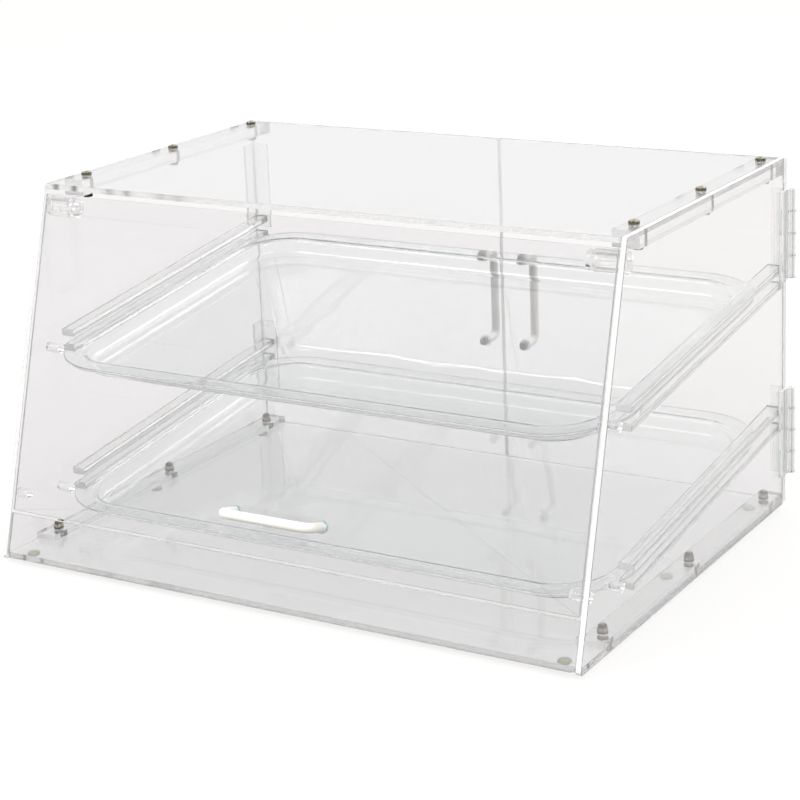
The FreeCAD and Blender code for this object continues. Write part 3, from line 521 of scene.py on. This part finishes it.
slide = next(joint for joint in frame["joints"] if joint["name"] == "upper_tray_slide")
pitch = math.atan2(slide["axis"][2], slide["axis"][1])
along = Vector((0, math.cos(pitch), math.sin(pitch)))
up = Vector((0, -math.sin(pitch), math.cos(pitch)))
for tier in ("lower_tray", "upper_tray"):
    low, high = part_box(tier)
    front = low.y + TRAY_SHEET * math.sin(pitch)
    reach = (high.y - front) / math.cos(pitch)
    rise = high.z - reach * math.sin(pitch) - TRAY_SHEET * math.cos(pitch)
    middle = Vector((0, front, rise)) + along * reach / 2 + up * TRAY_SHEET
    bpy.ops.object.select_all(action="DESELECT")
    bpy.ops.mesh.primitive_plane_add(size=1, location=(0, 0, 0))
    tray = bpy.context.active_object
    tray.name = tier + "_sheet"
    bpy.ops.object.mode_set(mode="EDIT")
    bpy.ops.mesh.select_all(action="SELECT")
    bpy.ops.transform.resize(value=(high.x - low.x, reach, 1), center_override=(0, 0, 0))
    bpy.ops.mesh.bevel(offset=TRAY_CORNER, segments=24, affect="VERTICES")
    bpy.ops.mesh.select_all(action="SELECT")
    bpy.ops.mesh.inset(thickness=TRAY_RIM, use_even_offset=True)
    bpy.ops.mesh.extrude_region_move(TRANSFORM_OT_translate={"value": (0, 0, -TRAY_DEPTH)})
    bpy.ops.object.mode_set(mode="OBJECT")
    tray.rotation_euler = (pitch, 0, 0)
    tray.location = middle
    bpy.ops.object.transform_apply(location=True, rotation=True, scale=True)
    round_edges(tray, TRAY_BEND, 6, 60)
    wall = tray.modifiers.new("wall", "SOLIDIFY")
    wall.thickness = TRAY_SHEET
    wall.offset = -1
    wall.use_even_offset = True
    bpy.ops.object.modifier_apply(modifier=wall.name)
    round_edges(tray, RIM_BUFF, 4, 60)
    shade_rounds(tray, 30)
    dress(tray, tray_skin, "clear_tray", tier, tier)
    tray.data.materials.append(rim_skin)
    for face in tray.data.polygons:
        from_middle = face.center - middle
        in_the_rim = from_middle.dot(up) > -TRAY_SHEET - 0.0002
        on_edge = abs(face.normal.dot(up)) < 0.8
        if in_the_rim and on_edge and face.normal.dot(from_middle) > 0:
            face.material_index = 1

# ---------------------------------------------------------------- front door
# One sheet of 3.2 mm acrylic, drilled for its handle, that hangs from two pivots behind its
# upper corners and leans back on the side panels' slope.
door = from_frame("front_door", "_sheet")
finish_edges(door, ARRIS, shrink=GLUE_LINE)
dress(door, upright, "clear_sheet", "front_door", "front_door")

# ---------------------------------------------------------------- handles
# Each is one rod of ivory nylon, bent square at both ends, on two clear washers, and held by
# screws from the inside of its door: one level on the front door, one upright on each rear.
PULL_RADIUS = 0.004
BEND = 0.0075
WASHER_RADIUS = 0.0054
WASHER = 0.0012
WASHER_ARRIS = 0.0003
FRONT_SHEET, REAR_SHEET = 0.0032, 0.0048
PULL_SCREW_HEAD, PULL_SCREW_HEAD_RADIUS = 0.0019, 0.00325
PULL_SCREW_GRIP, PULL_SCREW_RADIUS = 0.0075, 0.0015
ivory, shader = surface("ivory_nylon", {"Roughness": 0.28, "IOR": 1.5, "Coat Weight": 0.3,
                                        "Coat Roughness": 0.1})
where = add_step(ivory, "TexCoord", {})
mould = add_step(ivory, "TexNoise", {"Vector": where.outputs["Object"], "Scale": 60.0})
cream = add_step(ivory, "Mix", {"Factor": mould.outputs["Fac"], "A": (0.86, 0.84, 0.775, 1),
                                "B": (0.92, 0.905, 0.85, 1)}, data_type="RGBA")
feed(ivory, shader, {"Base Color": cream.outputs["Result"]})
clear_washer, _ = surface("clear_washer", {"Base Color": (0.72, 0.88, 0.9, 1),
                                           "Transmission Weight": 0.9, "Roughness": 0.1})


def bar_pull(name, foot, out, run, standoff):
    """A rod out from the door at one foot, along the run and back, with round bends."""
    bpy.ops.object.select_all(action="DESELECT")
    bpy.ops.mesh.primitive_circle_add(vertices=36, radius=PULL_RADIUS - GLUE_LINE,
                                      fill_type="NGON", location=foot,
                                      rotation=out.to_track_quat("Z", "Y").to_euler())
    pull = bpy.context.active_object
    pull.name = name
    bpy.ops.object.transform_apply(location=True, rotation=True, scale=True)
    bpy.ops.object.mode_set(mode="EDIT")
    bpy.ops.mesh.select_mode(type="FACE")
    bpy.ops.mesh.select_all(action="SELECT")
    along = run.normalized()
    leg = out * (standoff - BEND)
    straight = run - 2 * BEND * along
    bend_centre, bend_axis = foot + leg + along * BEND, along.cross(out)
    bpy.ops.mesh.extrude_region_move(TRANSFORM_OT_translate={"value": tuple(leg)})
    bpy.ops.mesh.spin(steps=10, angle=math.pi / 2, center=bend_centre, axis=bend_axis)
    bpy.ops.mesh.extrude_region_move(TRANSFORM_OT_translate={"value": tuple(straight)})
    bpy.ops.mesh.spin(steps=10, angle=math.pi / 2, center=bend_centre + straight, axis=bend_axis)
    bpy.ops.mesh.extrude_region_move(TRANSFORM_OT_translate={"value": tuple(-leg)})
    bpy.ops.mesh.select_all(action="SELECT")
    bpy.ops.mesh.remove_doubles(threshold=1e-6)
    bpy.ops.mesh.normals_make_consistent(inside=False)
    bpy.ops.object.mode_set(mode="OBJECT")
    bpy.ops.object.shade_smooth_by_angle(angle=math.radians(50))
    return pull


def handle_fixings(name, foot, out, run, sheet):
    """A handle's two washers on the door's face and its two screws from the inside."""
    washer = ring(name + "_washer", foot, out, WASHER_RADIUS, PULL_RADIUS + GLUE_LINE, WASHER,
                  WASHER_ARRIS)
    seat = foot - out * (sheet + 2 * GLUE_LINE)
    head = rod_between(name + "_head", seat, seat - out * PULL_SCREW_HEAD,
                       PULL_SCREW_HEAD_RADIUS, 0.0007, sides=32)
    shank = rod_between(name + "_shank", seat, seat + out * (sheet + PULL_SCREW_GRIP),
                        PULL_SCREW_RADIUS)
    screw = merged(name + "_screw", [head, shank])
    washers = merged(name + "_washers", [washer, copied(washer, name + "_far_washer", run)])
    screws = merged(name + "_screws", [screw, copied(screw, name + "_far_screw", run)])
    return washers, screws


faces = [face for face in frame["nodes"]["front_door"].data.polygons if face.normal.y < 0]
out = max(faces, key=lambda face: face.area).normal.copy()
low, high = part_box("handle_washers")
leg_x = high.x - WASHER_RADIUS
foot = Vector((-leg_x, (low.y + high.y - out.y * WASHER) / 2,
               (low.z + high.z - out.z * WASHER) / 2))
bar_low, bar_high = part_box("door_handle")
bend = Vector((-leg_x, bar_low.y + PULL_RADIUS, bar_high.z - PULL_RADIUS))
run = Vector((2 * leg_x, 0, 0))
pull = bar_pull("front_pull", foot + out * GLUE_LINE, out, run, (bend - foot).length)
dress(pull, ivory, "ivory_plastic", "front_door", "door_handle")
washers, screws = handle_fixings("front", foot + out * GLUE_LINE, out, run, FRONT_SHEET)
dress(washers, clear_washer, "clear_washer", "front_door", "handle_washers")
dress(screws, dark_plate, "dark_screw", "front_door", "handle_screws")

for side in ("left", "right"):
    low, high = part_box("rear_handle_" + side)
    door_body = "rear_door_" + side
    foot = Vector(((low.x + high.x) / 2, low.y + GLUE_LINE, low.z + PULL_RADIUS))
    out, run = Vector((0, 1, 0)), Vector((0, 0, high.z - low.z - 2 * PULL_RADIUS))
    pull = bar_pull("rear_pull_" + side, foot, out, run, high.y - low.y - PULL_RADIUS)
    dress(pull, ivory, "ivory_plastic", door_body, "rear_handle_" + side)
    washers, screws = handle_fixings("rear_" + side, foot, out, run, REAR_SHEET)
    dress(washers, clear_washer, "clear_washer", door_body)
    dress(screws, dark_plate, "dark_screw", door_body, "rear_handle_screws_" + side)

# ---------------------------------------------------------------- rear doors
# Two sheets of 4.8 mm acrylic that close over the case's back edges and meet at a narrow
# split, each hung on two hinges from the side panel.
for side in ("left", "right"):
    door = from_frame("rear_door_" + side, "_sheet")
    finish_edges(door, ARRIS, shrink=GLUE_LINE)
    dress(door, upright, "clear_sheet", "rear_door_" + side, "rear_door_" + side)

# ---------------------------------------------------------------- rear hinges
# Clear moulded butt hinges, two a side: one leaf glued to the side panel and one to the door,
# with rounded corners, and knuckles that turn on a clear pin.
HINGE_ARRIS = 0.0006
HINGE_PIN_ARRIS = 0.0004
# The grey arris line is painted shade.
moulded = clear_acrylic("clear_moulded_hinge", (0.9, 0.91, 0.91), "Z", ENDS_FULL, ENDS_FROM,
                        rough=0.06, arris_shade_or_frost=(0.55, 0.56, 0.56))
for place in ("lower", "upper"):
    for side in ("left", "right"):
        for leaf, body in (("side", "case"), ("door", "rear_door_" + side)):
            node = "%s_hinge_%s_leaf_%s" % (place, leaf, side)
            plate = from_frame(node, "_moulded")
            finish_edges(plate, HINGE_ARRIS, shrink=GLUE_LINE)
            dress(plate, moulded, "clear_hinge", body, node)
        node = "%s_hinge_pin_%s" % (place, side)
        low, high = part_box(node)
        middle, half = (low + high) / 2, UP * (high.z - low.z) / 2
        pin = rod_between(node + "_rod", middle - half, middle + half,
                          (high.x - low.x) / 2 - GLUE_LINE, HINGE_PIN_ARRIS)
        dress(pin, rod_skin, "hinge_pin", "case", node)

# ---------------------------------------------------------------- counter, sky and lamps
# A plain white counter that runs on as the backdrop, three soft lamps, and a pale studio sky
# that darkens overhead, so that clear edges and plated heads have something to show. Behind
# many clear sheets, and for diffuse light, the sky is a little brighter.
COUNTER_GLOW = 0.78
SOFT_SKY = 1.3
SKY_SHADES = ((0.3, (1, 1, 1, 1)), (0.6, (0.8, 0.8, 0.79, 1)), (0.9, (0.45, 0.45, 0.45, 1)))
bpy.ops.object.select_all(action="DESELECT")
bpy.ops.mesh.primitive_plane_add(size=60, location=(0, 0, 0))
counter = bpy.context.active_object
counter.name = "counter"
paper, shader = surface("white_counter", {
    "Base Color": (0.17, 0.165, 0.155, 1), "Roughness": 0.9, "Specular IOR Level": 0.0,
    "Emission Color": (1, 1, 1, 1)})
path = add_step(paper, "LightPath", {})
seen = add_step(paper, "Math", {0: path.outputs["Is Camera Ray"],
                                1: path.outputs["Is Transmission Ray"]}, operation="MAXIMUM")
shown = add_step(paper, "Math", {0: seen.outputs[0], 1: path.outputs["Is Glossy Ray"]},
                 operation="MAXIMUM")
glow = add_step(paper, "Math", {0: shown.outputs[0], 1: COUNTER_GLOW}, operation="MULTIPLY")
feed(paper, shader, {"Emission Strength": glow.outputs[0]})
counter.data.materials.append(paper)

world = bpy.data.worlds.new("studio")
bpy.context.scene.world = world
world.use_nodes = True
world.cycles.sampling_method = "NONE"
where = add_step(world, "TexCoord", {})
parts = add_step(world, "SeparateXYZ", {"Vector": where.outputs["Generated"]})
shade = add_step(world, "ValToRGB", {"Fac": parts.outputs["Z"]})
(low_at, low_shade), (mid_at, mid_shade), (high_at, high_shade) = SKY_SHADES
ramp = shade.color_ramp.elements
ramp[0].position, ramp[0].color = low_at, low_shade
ramp[1].position, ramp[1].color = high_at, high_shade
ramp.new(mid_at).color = mid_shade
path = add_step(world, "LightPath", {})
soft = add_step(world, "Mix", {"Factor": path.outputs["Diffuse Depth"],
                               "A": shade.outputs["Color"],
                               "B": (SOFT_SKY, SOFT_SKY, SOFT_SKY, 1)}, data_type="RGBA")
lift = add_step(world, "MapRange", {"Value": path.outputs["Transmission Depth"],
                                    "From Max": 10.0, "To Min": 1.0, "To Max": 2.0})
behind = add_step(world, "Mix", {"Factor": path.outputs["Diffuse Depth"], "A": 1.0,
                                 "B": lift.outputs["Result"]})
feed(world, world.node_tree.nodes["Background"], {"Color": soft.outputs["Result"],
                                                  "Strength": behind.outputs["Result"]})

LAMPS_AIM = Vector((0, 0, 0.12))
for name, place, size, power in (("key_lamp", (-1.3, -1.5, 1.9), 1.4, 30),
                                 ("fill_lamp", (1.7, -1.1, 1.5), 1.2, 14),
                                 ("rear_lamp", (0.4, 1.8, 1.8), 1.2, 18)):
    lamp = bpy.data.lights.new(name, "AREA")
    lamp.size = size
    lamp.energy = power
    holder = bpy.data.objects.new(name, lamp)
    holder.location = place
    holder.rotation_euler = (LAMPS_AIM - Vector(place)).to_track_quat("-Z", "Y").to_euler()
    bpy.context.collection.objects.link(holder)

# ---------------------------------------------------------------- camera
# The photograph's own angle, with a long lens: to the right of the front, a little above, and
# turned by the photograph's small tilt.
AZIMUTH, ELEVATION, TILT = math.radians(31.37), math.radians(14.36), math.radians(-2.31)
DISTANCE = 1.80128
LENS, FILM_WIDTH, LENS_SHIFT = 99.2, 36, -0.15
AIM_RIGHT, AIM_BEFORE_REAR_DOOR, AIM_HEIGHT = 0.00856, 0.1945, 0.22068
aim = Vector((AIM_RIGHT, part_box("rear_door_left")[1].y - AIM_BEFORE_REAR_DOOR, AIM_HEIGHT))
back = Vector((math.sin(AZIMUTH) * math.cos(ELEVATION), -math.cos(AZIMUTH) * math.cos(ELEVATION),
               math.sin(ELEVATION)))
camera = bpy.data.objects.new("camera", bpy.data.cameras.new("camera"))
camera.data.lens = LENS
camera.data.sensor_width = FILM_WIDTH
camera.data.shift_y = LENS_SHIFT
camera.data.clip_start, camera.data.clip_end = 0.05, 100
camera.location = aim + back * DISTANCE
camera.rotation_mode = "QUATERNION"
camera.rotation_quaternion = (-back).to_track_quat("-Z", "Y") @ Quaternion((0, 0, 1), TILT)
bpy.context.collection.objects.link(camera)
bpy.context.scene.camera = camera
bpy.context.scene.view_settings.view_transform = "Standard"
bpy.context.scene.cycles.max_bounces = 64
bpy.context.scene.cycles.transmission_bounces = 48
bpy.context.scene.cycles.glossy_bounces = 48
